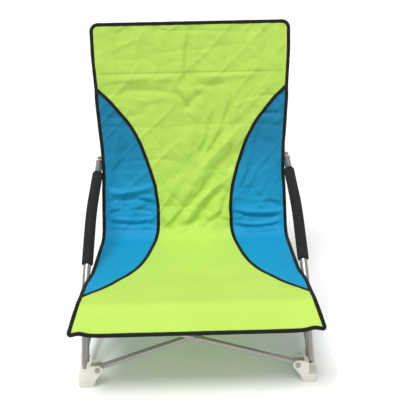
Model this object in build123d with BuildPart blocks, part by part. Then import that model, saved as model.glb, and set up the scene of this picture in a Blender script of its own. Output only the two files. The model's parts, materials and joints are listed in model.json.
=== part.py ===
"""Low folding camp chair: two rigid side frames, a front cross and a rear spreader, and a cloth sling.

The two side frames stay parallel while the chair folds sideways. The front cross and the rear spreader
have the same lower arms, so both ends of the chair close together.

Millimetres. +X is to the sitter's left as seen from the front, the chair faces -Y, +Z is up and
Z = 0 is the ground. Each side frame is drawn once for the +X side and mirrored for the other.
"""

import os
from math import atan2, cos, degrees, radians, sin, tan

from build123d import *

# ---------------------------------------------------------------- driving dimensions

FRONT_Y = -208.4  # where the front feet stand, so that the origin is under the middle of the chair

TUBE_R, TUBE_WALL = 8.0, 1.2  # arm tubes and back posts
BAR_R, BAR_WALL = 6.0, 1.0  # front cross and rear spreader
BRACE_R, BRACE_WALL = 5.0, 1.0  # side braces
FIT = 0.05  # a plastic part on its tube

# the arm tube, seen from the side: y from the front feet, z
LEG_FOOT = (6, 20)
LEG_KNEE = (88, 172)
ARM_BEND = (225, 280)
ARM_END = (395, 335.3)
KNEE_RADIUS, ARM_BEND_RADIUS = 110, 240
LEG_X, TOE_IN = 236, 0.035  # half spacing at the front feet, and how fast it narrows to the rear
GRIP_FROM_Y, GRIP_TO_Y, GRIP_R = 125, 346, 12.0

# the back post
RECLINE = 17.0
POST_X = 205
POST_JOINT = (393.3, 336)  # where the arm tube meets it, y and z
POST_BOTTOM_Z, POST_TOP_Z = 22, 628

# the cross and the spreader
PIVOT_X = 205
PIVOT_Y, PIVOT_Z = -22, 43  # front pivots
CROSS_RISE = 71  # from a foot pivot up to the centre pivot
CROSS_TOP_X = 212
BAR_GAP = 1.6  # between the two bars at their centre pivot
BAR_PAST_PIVOT, BAR_PAST_CENTRE = 8, 10
REAR_PIVOT_UP, REAR_PIVOT_BACK = 40, 26  # along the post from the ground, and behind its axis

# rivets and pins
PIN_R, PIN_PLAY, PIN_HEAD_R, PIN_HEAD_H = 3.0, 0.08, 5.5, 2.0
RIVET_R, RIVET_HEAD_R, RIVET_HEAD_H = 2.2, 4.2, 1.4
HEAD_GAP = 0.3  # under a rivet's head, where the surface is round
BODY_GAP = 0.3  # between faces of parts that move past each other

# feet and joints
EAR_R, EAR_T, EAR_SLOT, EAR_CLEAR = 10.0, 4.0, 13.8, 1.2
FOOT_H, BOSS_R, BOSS_TOP_Z = 19.0, 10.6, 46.0
FOOT_CORNER = 9
COLLAR_R, COLLAR_H = 10.8, 30.0
CUP_R, CUP_DEPTH, CUP_END = 9.3, 14.0, 4.0
CAP_PLUG, CAP_TOP, CAP_LIP, CAP_ROUND = 18, 5, 0.6, 2.5
CORNER_CAP_DEPTH, CORNER_CAP_END, CORNER_CAP_WALL, CORNER_CAP_ROUND = 20, 4, 1.5, 3
WASHER_R, WASHER_T = 6.5, 1.0
STRAP_Z, STRAP_HALF, STRAP_WALL, STRAP_W = 166, 12, 2, 12

# the front foot: base from inner front to outer back, then x and z of its webs, then the brace's lug
FOOT_FROM, FOOT_TO = (212, -33), (247.5, 45)
CLEVIS_WEB = [(198, 36), (214, 13), (228, 13), (228, 48), (217, 52), (205, 53), (198, 36)]
STAY_WEB, STAY_LENGTH = [(217, 6), (232, 6), (232, 34), (228, 48), (219, 50), (217, 6)], 26
SLOT_W, SLOT_H, SLOT_SHIFT = 35, 40, 4
LEG_HOUSING_BELOW, LEG_HOUSING_ABOVE = 12, 28
LEG_WINDOW = (23, 30, 60)  # across the leg, forwards from its axis, and up
LUG_SIZE, LUG_MID, LUG_H, LUG_ROUND = (14.5, 24), (239.5, 32, 15), 26, 3

# the rear foot: base width and length, how far its middle lies behind the post, ears and stay
REAR_BASE, REAR_BASE_BACK = (30, 62), 17
REAR_EAR_H, REAR_SLOT_BELOW = 32, 11  # below the pivot
REAR_STAY_TOP, REAR_STAY_W, REAR_STAY_H, REAR_STAY_T = -7, 14, 20, 8

# the side brace's front end
BRACE_FROM, BRACE_REAR_Z, BRACE_PAST = (239.5, 31, 29), 118, 7
BRACE_GAP = 0.5

POCKET_T, POCKET_GAP = 2.0, 1.0
THROUGH = 60  # drills and cuts that pass right through a part

# the sling
CLOTH_T = 3.0
CLOTH_OFF = 12.2  # from the post's axis to the back of the cloth
SEAT_REAR_END, SEAT_REAR_UNDER = (334, 157), (334, 154)
SEAT_FRONT, SEAT_FRONT_UNDER = (-40, 204), (-39, 201)
HEM, HEM_UNDER = (-80, 160), (-77.5, 158)
SEAT_CUT = 500
TOP_Z = 640
POCKET_FROM_Z = 506
# half width of the back panel at each height, and of the seat panel at each y
BACK_WIDTHS = [(158, 221.5), (242, 219.5), (300, 214), (314, 212.3), (362, 212.3), (392, 217.5),
               (506, 227), (570, 231.5), (TOP_Z, 232.5)]
SEAT_WIDTHS = [(322, 221.5), (198, 222.3), (97, 223), (84, 231), (30, 233), (-40, 236), (-80, 252.5)]
CORNER_R = 12

# ---------------------------------------------------------------- derived values and helpers

BETA = radians(RECLINE)
ALONG_POST = Vector(0, sin(BETA), cos(BETA))
BEHIND_POST = Vector(0, cos(BETA), -sin(BETA))
CROSS_ARM = (PIVOT_X**2 + CROSS_RISE**2) ** 0.5
BAR_SHIFT = BAR_R + BAR_GAP / 2  # each bar's axis from the cross's middle plane, at the centre


def at(x, y, z):
    """A point with y counted from the front feet."""
    return Vector(x, y + FRONT_Y, z)


def side_x(y):
    """Half spacing of the arm tubes at y."""
    return LEG_X - TOE_IN * y


def on_side(y, z):
    """A point of the arm tube's plane."""
    return at(side_x(y), y, z)


def post_point(z):
    """The point of the right post's axis at height z."""
    y, z0 = POST_JOINT
    return at(POST_X, y + (z - z0) * tan(BETA), z)


def rod(start, end, radius, mode=Mode.ADD):
    """A solid rod between two points. Used inside a part's block."""
    run = end - start
    with Locations(Plane(origin=start, z_dir=run)):
        Cylinder(radius, run.length, align=(Align.CENTER, Align.CENTER, Align.MIN), mode=mode)


def tube(start, end, radius, wall):
    """A straight tube between two points. Used inside a part's block."""
    rod(start, end, radius)
    rod(start, end, radius - wall, mode=Mode.SUBTRACT)


def drill(centre, direction, radius, length):
    """A hole through the part, centred on a point. Used inside a part's block."""
    half = direction.normalized() * (length / 2)
    rod(centre - half, centre + half, radius, mode=Mode.SUBTRACT)


def rivet(centre, direction, grip, radius, head_radius, head_height):
    """A rivet whose heads stand grip apart. Used inside a part's block."""
    way = direction.normalized()
    inside, outside = way * (grip / 2), way * (grip / 2 + head_height)
    rod(centre - inside, centre + inside, radius)
    rod(centre - outside, centre - inside, head_radius)
    rod(centre + inside, centre + outside, head_radius)


def save(piece, name):
    """Label a finished piece and write it."""
    piece.part.label = name
    export_step(piece.part, f"parts/{name}.step")


def save_pair(piece, name):
    """Write the right-hand piece, and its mirror image for the left."""
    save(piece, f"right_{name}")
    with BuildPart() as left:
        add(mirror(piece.part, about=Plane.YZ))
    save(left, f"left_{name}")


os.makedirs("parts", exist_ok=True)

# ---------------------------------------------------------------- places that several parts share

FOOT_POINT = on_side(*LEG_FOOT)
ARM_TIP = on_side(*ARM_END)
LEG_WAY = (on_side(*LEG_KNEE) - FOOT_POINT).normalized()
LEG_START = FOOT_POINT + LEG_WAY * TUBE_R  # above its rounded end
ARM_WAY = (ARM_TIP - on_side(*ARM_BEND)).normalized()

FRONT_PIVOT = at(PIVOT_X, PIVOT_Y, PIVOT_Z)
FRONT_CENTRE = at(0, PIVOT_Y, PIVOT_Z + CROSS_RISE)
REAR_GROUND = post_point(0)
REAR_PIVOT = Vector(PIVOT_X, REAR_GROUND.Y, 0) + ALONG_POST * REAR_PIVOT_UP + BEHIND_POST * REAR_PIVOT_BACK
REAR_CENTRE = Vector(0, REAR_PIVOT.Y, REAR_PIVOT.Z) + ALONG_POST * CROSS_RISE

POST_RIVET = post_point(32)
ARM_RIVET = ARM_TIP - ARM_WAY * 5
ARM_RIVET_WAY = Vector(1, 0, 0).cross(ARM_WAY).normalized()
BRACE_FRONT = at(*BRACE_FROM)
BRACE_REAR = post_point(BRACE_REAR_Z) + Vector(TUBE_R + BRACE_R + BRACE_GAP, 0, 0)
BRACE_WAY = (BRACE_REAR - BRACE_FRONT).normalized()

X_WAY, Y_WAY = Vector(1, 0, 0), Vector(0, 1, 0)
PIN_GRIP = EAR_SLOT + 2 * EAR_T

# ---------------------------------------------------------------- side frame: tubes

with BuildPart() as arm_tube:
    with BuildLine() as arm_line:
        FilletPolyline(LEG_START, on_side(*LEG_KNEE), on_side(*ARM_BEND), ARM_TIP,
                       radius=[KNEE_RADIUS, ARM_BEND_RADIUS])
    with BuildSketch(Plane(origin=LEG_START, z_dir=LEG_WAY)):
        Circle(TUBE_R)
        Circle(TUBE_R - TUBE_WALL, mode=Mode.SUBTRACT)
    sweep(path=arm_line.line)
    # the foot end is swaged shut and rounded
    with Locations(Location(LEG_START)):
        Sphere(TUBE_R)
    drill(ARM_RIVET, ARM_RIVET_WAY, RIVET_R, THROUGH)
save_pair(arm_tube, "arm_tube")

with BuildPart() as back_post:
    tube(post_point(POST_BOTTOM_Z), post_point(POST_TOP_Z), TUBE_R, TUBE_WALL)
    drill(POST_RIVET, X_WAY, RIVET_R, THROUGH)
    drill(BRACE_REAR, X_WAY, RIVET_R, THROUGH)
save_pair(back_post, "back_post")

with BuildPart() as side_brace:
    tube(BRACE_FRONT, BRACE_REAR + BRACE_WAY * BRACE_PAST, BRACE_R, BRACE_WALL)
    drill(BRACE_REAR, X_WAY, RIVET_R, THROUGH)
save_pair(side_brace, "side_brace")

# ---------------------------------------------------------------- side frame: plastic feet and joints

with BuildPart() as front_foot:
    # the half shell that the tube lies against, and the web from it to the clevis
    rod(FOOT_POINT - LEG_WAY * LEG_HOUSING_BELOW, FOOT_POINT + LEG_WAY * LEG_HOUSING_ABOVE, BOSS_R)
    with BuildSketch(Plane(origin=at(0, PIVOT_Y - PIN_GRIP / 2, 0), x_dir=X_WAY, z_dir=-Y_WAY)):
        with Locations((PIVOT_X, PIVOT_Z)):
            Circle(EAR_R)
        with BuildLine():
            Polyline(*CLEVIS_WEB)
        make_face()
    extrude(amount=-PIN_GRIP)
    with BuildSketch(Plane(origin=at(0, PIVOT_Y + PIN_GRIP / 2, 0), x_dir=X_WAY, z_dir=-Y_WAY)):
        with BuildLine():
            Polyline(*STAY_WEB)
        make_face()
    extrude(amount=-STAY_LENGTH)
    # the lug that holds the brace
    with BuildSketch(Plane(origin=at(*LUG_MID))):
        RectangleRounded(*LUG_SIZE, LUG_ROUND)
    extrude(amount=LUG_H)
    # clevis slot
    with BuildSketch(Plane(origin=at(0, PIVOT_Y - EAR_SLOT / 2, 0), x_dir=X_WAY, z_dir=-Y_WAY)):
        with Locations((PIVOT_X - SLOT_SHIFT, PIVOT_Z + SLOT_SHIFT)):
            Rectangle(SLOT_W, SLOT_H)
        with Locations((PIVOT_X, PIVOT_Z)):
            Circle(EAR_R + EAR_CLEAR)
    extrude(amount=-EAR_SLOT, mode=Mode.SUBTRACT)
    # open in front of the leg, down to the base
    with Locations(Plane(origin=FOOT_POINT, x_dir=X_WAY, z_dir=LEG_WAY)):
        Box(*LEG_WINDOW, align=(Align.CENTER, Align.MAX, Align.MIN), mode=Mode.SUBTRACT)
    base_low, base_high = at(*FOOT_FROM, 0), at(*FOOT_TO, 0)
    base_mid = (base_low + base_high) / 2
    with BuildSketch(Plane(origin=base_mid)):
        RectangleRounded(base_high.X - base_low.X, base_high.Y - base_low.Y, FOOT_CORNER)
    extrude(amount=FOOT_H)
    rod(LEG_START, FOOT_POINT + LEG_WAY * THROUGH, TUBE_R + FIT, mode=Mode.SUBTRACT)
    with Locations(Location(LEG_START)):
        Sphere(TUBE_R + FIT, mode=Mode.SUBTRACT)
    rod(BRACE_FRONT, BRACE_FRONT + BRACE_WAY * THROUGH, BRACE_R + FIT, mode=Mode.SUBTRACT)
    drill(FRONT_PIVOT, Y_WAY, PIN_R, PIN_GRIP)
    split(bisect_by=Plane.XY, keep=Keep.TOP)
save_pair(front_foot, "front_foot")

REAR_SLOPE = Plane(origin=REAR_PIVOT, x_dir=X_WAY, z_dir=-BEHIND_POST)
with BuildPart() as rear_foot:
    rear_base = post_point(0)
    with BuildSketch(Plane(origin=Vector(POST_X, rear_base.Y + REAR_BASE_BACK, 0))):
        RectangleRounded(*REAR_BASE, FOOT_CORNER)
    extrude(amount=FOOT_H)
    rod(post_point(0), post_point(BOSS_TOP_Z), BOSS_R)
    with BuildSketch(REAR_SLOPE.offset(-PIN_GRIP / 2)):
        Circle(EAR_R)
        Rectangle(2 * EAR_R, REAR_EAR_H, align=(Align.CENTER, Align.MAX))
    extrude(amount=PIN_GRIP)
    with BuildSketch(REAR_SLOPE.offset(PIN_GRIP / 2)):
        with Locations((0, REAR_STAY_TOP)):
            Rectangle(REAR_STAY_W, REAR_STAY_H, align=(Align.CENTER, Align.MAX))
    extrude(amount=REAR_STAY_T)
    with BuildSketch(REAR_SLOPE.offset(-EAR_SLOT / 2)):
        with Locations((0, -REAR_SLOT_BELOW)):
            Rectangle(4 * EAR_R, SLOT_H, align=(Align.CENTER, Align.MIN))
    extrude(amount=EAR_SLOT, mode=Mode.SUBTRACT)
    rod(post_point(POST_BOTTOM_Z), post_point(POST_BOTTOM_Z + THROUGH), TUBE_R + FIT, mode=Mode.SUBTRACT)
    drill(POST_RIVET, X_WAY, RIVET_R, THROUGH)
    drill(REAR_PIVOT, BEHIND_POST, PIN_R, PIN_GRIP)
    split(bisect_by=Plane.XY, keep=Keep.TOP)
save_pair(rear_foot, "rear_foot")

with BuildPart() as arm_joint:
    joint_mid = post_point(POST_JOINT[1])
    rod(joint_mid - ALONG_POST * (COLLAR_H / 2), joint_mid + ALONG_POST * (COLLAR_H / 2), COLLAR_R)
    rod(ARM_TIP - ARM_WAY * (CUP_DEPTH - CUP_END), ARM_TIP + ARM_WAY * CUP_END, CUP_R)
    rod(joint_mid - ALONG_POST * THROUGH, joint_mid + ALONG_POST * THROUGH, TUBE_R + FIT, mode=Mode.SUBTRACT)
    rod(ARM_TIP - ARM_WAY * THROUGH, ARM_TIP, TUBE_R + FIT, mode=Mode.SUBTRACT)
    drill(ARM_RIVET, ARM_RIVET_WAY, RIVET_R, THROUGH)
save_pair(arm_joint, "arm_joint")

with BuildPart() as post_cap:
    post_top = post_point(POST_TOP_Z)
    rod(post_top - ALONG_POST * CAP_PLUG, post_top, TUBE_R - TUBE_WALL)
    rod(post_top, post_top + ALONG_POST * CAP_TOP, TUBE_R + CAP_LIP)
    fillet(post_cap.edges().sort_by(Axis.Z)[-1], radius=CAP_ROUND)
save_pair(post_cap, "post_cap")

with BuildPart() as arm_grip:
    grip_start = on_side(GRIP_FROM_Y, LEG_KNEE[1] + (GRIP_FROM_Y - LEG_KNEE[0])
                         * (ARM_BEND[1] - LEG_KNEE[1]) / (ARM_BEND[0] - LEG_KNEE[0]))
    grip_end = on_side(GRIP_TO_Y, ARM_BEND[1] + (GRIP_TO_Y - ARM_BEND[0])
                       * (ARM_END[1] - ARM_BEND[1]) / (ARM_END[0] - ARM_BEND[0]))
    with BuildLine() as grip_line:
        FilletPolyline(grip_start, on_side(*ARM_BEND), grip_end, radius=ARM_BEND_RADIUS)
    with BuildSketch(Plane(origin=grip_start, z_dir=on_side(*ARM_BEND) - grip_start)):
        Circle(GRIP_R)
        Circle(TUBE_R + FIT, mode=Mode.SUBTRACT)
    sweep(path=grip_line.line)
save_pair(arm_grip, "arm_grip")

with BuildPart() as seat_strap:
    strap_mid = post_point(STRAP_Z)
    rod(strap_mid - ALONG_POST * STRAP_HALF, strap_mid + ALONG_POST * STRAP_HALF, TUBE_R + STRAP_WALL)
    with Locations(Plane(origin=strap_mid, x_dir=X_WAY, z_dir=ALONG_POST)):
        Box(STRAP_W, CLOTH_OFF, 2 * STRAP_HALF, align=(Align.CENTER, Align.MAX, Align.CENTER))
    rod(strap_mid - ALONG_POST * THROUGH, strap_mid + ALONG_POST * THROUGH, TUBE_R + FIT, mode=Mode.SUBTRACT)
save_pair(seat_strap, "seat_strap")

# ---------------------------------------------------------------- side frame: pins and rivets

with BuildPart() as pivot_pins:
    rivet(FRONT_PIVOT, Y_WAY, PIN_GRIP, PIN_R, PIN_HEAD_R, PIN_HEAD_H)
    rivet(REAR_PIVOT, BEHIND_POST, PIN_GRIP, PIN_R, PIN_HEAD_R, PIN_HEAD_H)
save_pair(pivot_pins, "pivot_pins")

with BuildPart() as frame_rivets:
    brace_grip = 2 * TUBE_R + 2 * BRACE_R + BRACE_GAP
    for centre, way, grip in [
        (ARM_RIVET, ARM_RIVET_WAY, 2 * CUP_R),
        (POST_RIVET, X_WAY, 2 * BOSS_R),
        (BRACE_REAR - X_WAY * (brace_grip / 2 - BRACE_R), X_WAY, brace_grip),
    ]:
        rivet(centre, way, grip + 2 * HEAD_GAP, RIVET_R, RIVET_HEAD_R, RIVET_HEAD_H)
save_pair(frame_rivets, "frame_rivets")

# ---------------------------------------------------------------- front cross

BAR_NAMES = {-1: "left", 1: "right"}


def bar_line(foot_pivot, centre, off_way, side):
    """The foot pivot, the centre and the direction of the bar that stands on one side's foot."""
    foot = Vector(side * foot_pivot.X, foot_pivot.Y, foot_pivot.Z)
    middle = centre + off_way * (BAR_SHIFT * side)
    return foot, middle, (middle - foot).normalized()


for side, name in BAR_NAMES.items():
    foot, middle, way = bar_line(FRONT_PIVOT, FRONT_CENTRE, -Y_WAY, side)
    top = middle + (middle - foot) * (CROSS_TOP_X / PIVOT_X)
    far_side = BAR_NAMES[-side]
    with BuildPart() as cross_bar:
        tube(foot - way * BAR_PAST_PIVOT, top, BAR_R, BAR_WALL)
        drill(foot, Y_WAY, PIN_R + PIN_PLAY, THROUGH)
        drill(middle, Y_WAY, PIN_R + (PIN_PLAY if side > 0 else 0), THROUGH)
    save(cross_bar, f"front_cross_bar_{name}")
    with BuildPart() as corner_cap:
        rod(top - way * CORNER_CAP_DEPTH, top + way * CORNER_CAP_END, BAR_R + CORNER_CAP_WALL)
        fillet(corner_cap.edges().sort_by(Axis(top, way))[-1], radius=CORNER_CAP_ROUND)
        rod(top - way * THROUGH, top, BAR_R + FIT, mode=Mode.SUBTRACT)
    save(corner_cap, f"{far_side}_seat_corner_cap")

CENTRE_GRIP = 4 * BAR_R + BAR_GAP + 2 * BODY_GAP
with BuildPart() as front_centre_rivet:
    rivet(FRONT_CENTRE, Y_WAY, CENTRE_GRIP, PIN_R, PIN_HEAD_R, PIN_HEAD_H)
save(front_centre_rivet, "front_centre_rivet")

with BuildPart() as front_centre_washer:
    rod(FRONT_CENTRE - Y_WAY * (WASHER_T / 2), FRONT_CENTRE + Y_WAY * (WASHER_T / 2), WASHER_R)
    drill(FRONT_CENTRE, Y_WAY, PIN_R, THROUGH)
save(front_centre_washer, "front_centre_washer")

# ---------------------------------------------------------------- rear spreader

for side, name in BAR_NAMES.items():
    foot, middle, way = bar_line(REAR_PIVOT, REAR_CENTRE, BEHIND_POST, side)
    with BuildPart() as spreader:
        tube(foot - way * BAR_PAST_PIVOT, middle + way * BAR_PAST_CENTRE, BAR_R, BAR_WALL)
        drill(foot, BEHIND_POST, PIN_R + PIN_PLAY, THROUGH)
        drill(middle, BEHIND_POST, PIN_R + (PIN_PLAY if side > 0 else 0), THROUGH)
    save(spreader, f"rear_spreader_{name}")

with BuildPart() as rear_centre_rivet:
    rivet(REAR_CENTRE, BEHIND_POST, CENTRE_GRIP, PIN_R, PIN_HEAD_R, PIN_HEAD_H)
save(rear_centre_rivet, "rear_centre_rivet")

with BuildPart() as rear_centre_washer:
    washer_half = BEHIND_POST * (WASHER_T / 2)
    rod(REAR_CENTRE - washer_half, REAR_CENTRE + washer_half, WASHER_R)
    drill(REAR_CENTRE, BEHIND_POST, PIN_R, THROUGH)
save(rear_centre_washer, "rear_centre_washer")

# ---------------------------------------------------------------- sling


def mirrored(points):
    """An outline's right-hand points, closed by their mirror images."""
    outline = [*points, *[(-x, v) for x, v in reversed(points)]]
    return [*outline, outline[0]]


BACK_PLANE = Plane(
    origin=Vector(0, REAR_GROUND.Y, 0) - BEHIND_POST * CLOTH_OFF, x_dir=X_WAY, z_dir=-BEHIND_POST
)
with BuildPart() as back_panel:
    with BuildSketch(BACK_PLANE) as back_outline:
        with BuildLine():
            Polyline(*mirrored([(x, z / cos(BETA)) for z, x in BACK_WIDTHS]))
        make_face()
        fillet(back_outline.vertices().group_by(Axis.Z)[-1], radius=CORNER_R)
    extrude(amount=CLOTH_T)
save(back_panel, "back_panel")

with BuildPart() as head_pocket:
    low, high = POCKET_FROM_Z / cos(BETA), TOP_Z / cos(BETA)
    pocket_half = BACK_WIDTHS[-1][1] - CORNER_R
    pocket_depth = CLOTH_OFF + TUBE_R + POCKET_GAP
    with BuildSketch(BACK_PLANE.offset(-pocket_depth - POCKET_T)):
        with Locations((0, high)):
            Rectangle(2 * pocket_half, high - low, align=(Align.CENTER, Align.MAX))
    extrude(amount=POCKET_T)
    with BuildSketch(BACK_PLANE.offset(-pocket_depth)):
        with Locations((0, high)):
            Rectangle(2 * pocket_half, POCKET_T, align=(Align.CENTER, Align.MAX))
    extrude(amount=pocket_depth)
save(head_pocket, "head_pocket")

with BuildPart() as seat_panel:
    with BuildSketch(Plane(origin=at(-SEAT_CUT, 0, 0), x_dir=Y_WAY, z_dir=X_WAY)):
        with BuildLine():
            Polyline(SEAT_REAR_END, SEAT_FRONT, HEM, HEM_UNDER, SEAT_FRONT_UNDER, SEAT_REAR_UNDER, SEAT_REAR_END)
        make_face()
    extrude(amount=2 * SEAT_CUT)
    with BuildSketch(Plane(origin=at(0, 0, 0))):
        with BuildLine():
            Polyline(*mirrored([(SEAT_WIDTHS[0][1], SEAT_CUT), *[(x, y) for y, x in SEAT_WIDTHS],
                                (SEAT_WIDTHS[-1][1], -SEAT_CUT)]))
        make_face()
    extrude(amount=SEAT_CUT, mode=Mode.INTERSECT)
    # the rear edge is cut flush with the front of the back panel
    split(bisect_by=BACK_PLANE.offset(CLOTH_T), keep=Keep.TOP)
save(seat_panel, "seat_panel")

print("cross angle at rest", round(degrees(atan2(CROSS_RISE, PIVOT_X)), 3), "arm", round(CROSS_ARM, 3))
for label, spot in {"front pivot": FRONT_PIVOT, "front centre": FRONT_CENTRE, "rear pivot": REAR_PIVOT,
                    "rear centre": REAR_CENTRE}.items():
    print(label, [round(v, 4) for v in spot])
print("post way", [round(v, 6) for v in ALONG_POST])
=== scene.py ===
"""Visual model of a low folding camp chair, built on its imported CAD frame.

Units are metres, in the frame's own axes: the chair faces -Y, +X is to the right as seen from the front,
+Z is up. The steel and plastic pieces are the frame's own nodes with finished materials. The cloth sling,
its bindings and stitching, the head pocket, the foam grips and the webbing loops are modelled here.
"""

import json
import logging
from dataclasses import dataclass, field
from enum import Enum
from math import cos, pi, radians, sin, tan
from typing import Iterable, Optional, Sequence

import bmesh
import bpy
import numpy as np
from mathutils import Euler, Matrix, Vector


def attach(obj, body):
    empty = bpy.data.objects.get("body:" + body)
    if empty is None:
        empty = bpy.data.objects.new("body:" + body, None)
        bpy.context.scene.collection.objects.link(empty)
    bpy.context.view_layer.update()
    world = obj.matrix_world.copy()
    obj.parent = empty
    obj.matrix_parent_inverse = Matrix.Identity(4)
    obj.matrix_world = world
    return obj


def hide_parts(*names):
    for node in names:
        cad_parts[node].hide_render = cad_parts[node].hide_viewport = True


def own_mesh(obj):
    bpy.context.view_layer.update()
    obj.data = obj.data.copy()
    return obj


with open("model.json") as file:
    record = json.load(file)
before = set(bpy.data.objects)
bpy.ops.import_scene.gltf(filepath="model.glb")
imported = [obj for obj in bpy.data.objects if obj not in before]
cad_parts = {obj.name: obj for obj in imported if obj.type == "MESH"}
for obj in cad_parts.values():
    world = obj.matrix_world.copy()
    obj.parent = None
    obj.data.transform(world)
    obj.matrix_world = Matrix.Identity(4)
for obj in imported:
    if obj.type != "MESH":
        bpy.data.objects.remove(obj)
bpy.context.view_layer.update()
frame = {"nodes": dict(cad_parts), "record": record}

logging.basicConfig(level=logging.INFO, format="%(name)s: %(message)s")
log = logging.getLogger("camp_chair")

Array = np.ndarray

# ---------------------------------------------------------------- measures, from the CAD

FRONT_Y = -0.2084  # the front feet
RECLINE = radians(17)
ALONG_POST = np.array([0.0, sin(RECLINE), cos(RECLINE)])
BEHIND_POST = np.array([0.0, cos(RECLINE), -sin(RECLINE)])
POST_X = 0.205
POST_JOINT = (0.3933, 0.336)
CLOTH_OFF = 0.0137  # from a post's axis to the middle of the cloth
TOP_Z = 0.639
JUNCTION_Z = 0.158
RIDGE = (-0.040, 0.2025)
HEM = (-0.080, 0.1562)
FOLD_DEPTH = 2.0  # how deep the drawn creases are
CLOTH_THICK = 0.0012
MM = 0.001


class Side(Enum):
    """A side of the chair, as seen from the front."""

    LEFT = -1
    RIGHT = 1

    @property
    def word(self) -> str:
        """The side's name in node and piece names."""
        return self.name.lower()


class Weave(Enum):
    """How the threads of a cloth run: threads per metre."""

    PLAIN = 900.0
    BINDING = 1100.0
    WEBBING = 640.0


def post_axis(z: float) -> Array:
    """The point of the posts' plane at height z, with X left at 0."""
    y, z0 = POST_JOINT
    return np.array([0.0, y + (z - z0) * tan(RECLINE) + FRONT_Y, z])


# ---------------------------------------------------------------- shader graphs


class Wire:
    """A node socket that takes part in arithmetic."""

    def __init__(self, graph: "Graph", socket: bpy.types.NodeSocket) -> None:
        """Wrap a socket.

        Args:
            graph: The graph that the socket's node is in.
            socket: An output socket.
        """
        self.graph = graph
        self.socket = socket

    def _math(self, operation: str, *values: "Wire | float") -> "Wire":
        """A Math node on the given values, in order."""
        return self.graph.math(operation, *values)

    def __add__(self, other: "Wire | float") -> "Wire":
        """This plus other."""
        return self._math("ADD", self, other)

    def __radd__(self, other: float) -> "Wire":
        """Other plus this."""
        return self._math("ADD", other, self)

    def __sub__(self, other: "Wire | float") -> "Wire":
        """This minus other."""
        return self._math("SUBTRACT", self, other)

    def __rsub__(self, other: float) -> "Wire":
        """Other minus this."""
        return self._math("SUBTRACT", other, self)

    def __mul__(self, other: "Wire | float") -> "Wire":
        """This times other."""
        return self._math("MULTIPLY", self, other)

    def __rmul__(self, other: float) -> "Wire":
        """Other times this."""
        return self._math("MULTIPLY", other, self)

    def sine(self) -> "Wire":
        """The sine of this."""
        return self._math("SINE", self)

    def absolute(self) -> "Wire":
        """This without its sign."""
        return self._math("ABSOLUTE", self)

    def clipped(self) -> "Wire":
        """This kept between 0 and 1."""
        return self._math("MINIMUM", self._math("MAXIMUM", self, 0.0), 1.0)


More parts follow.
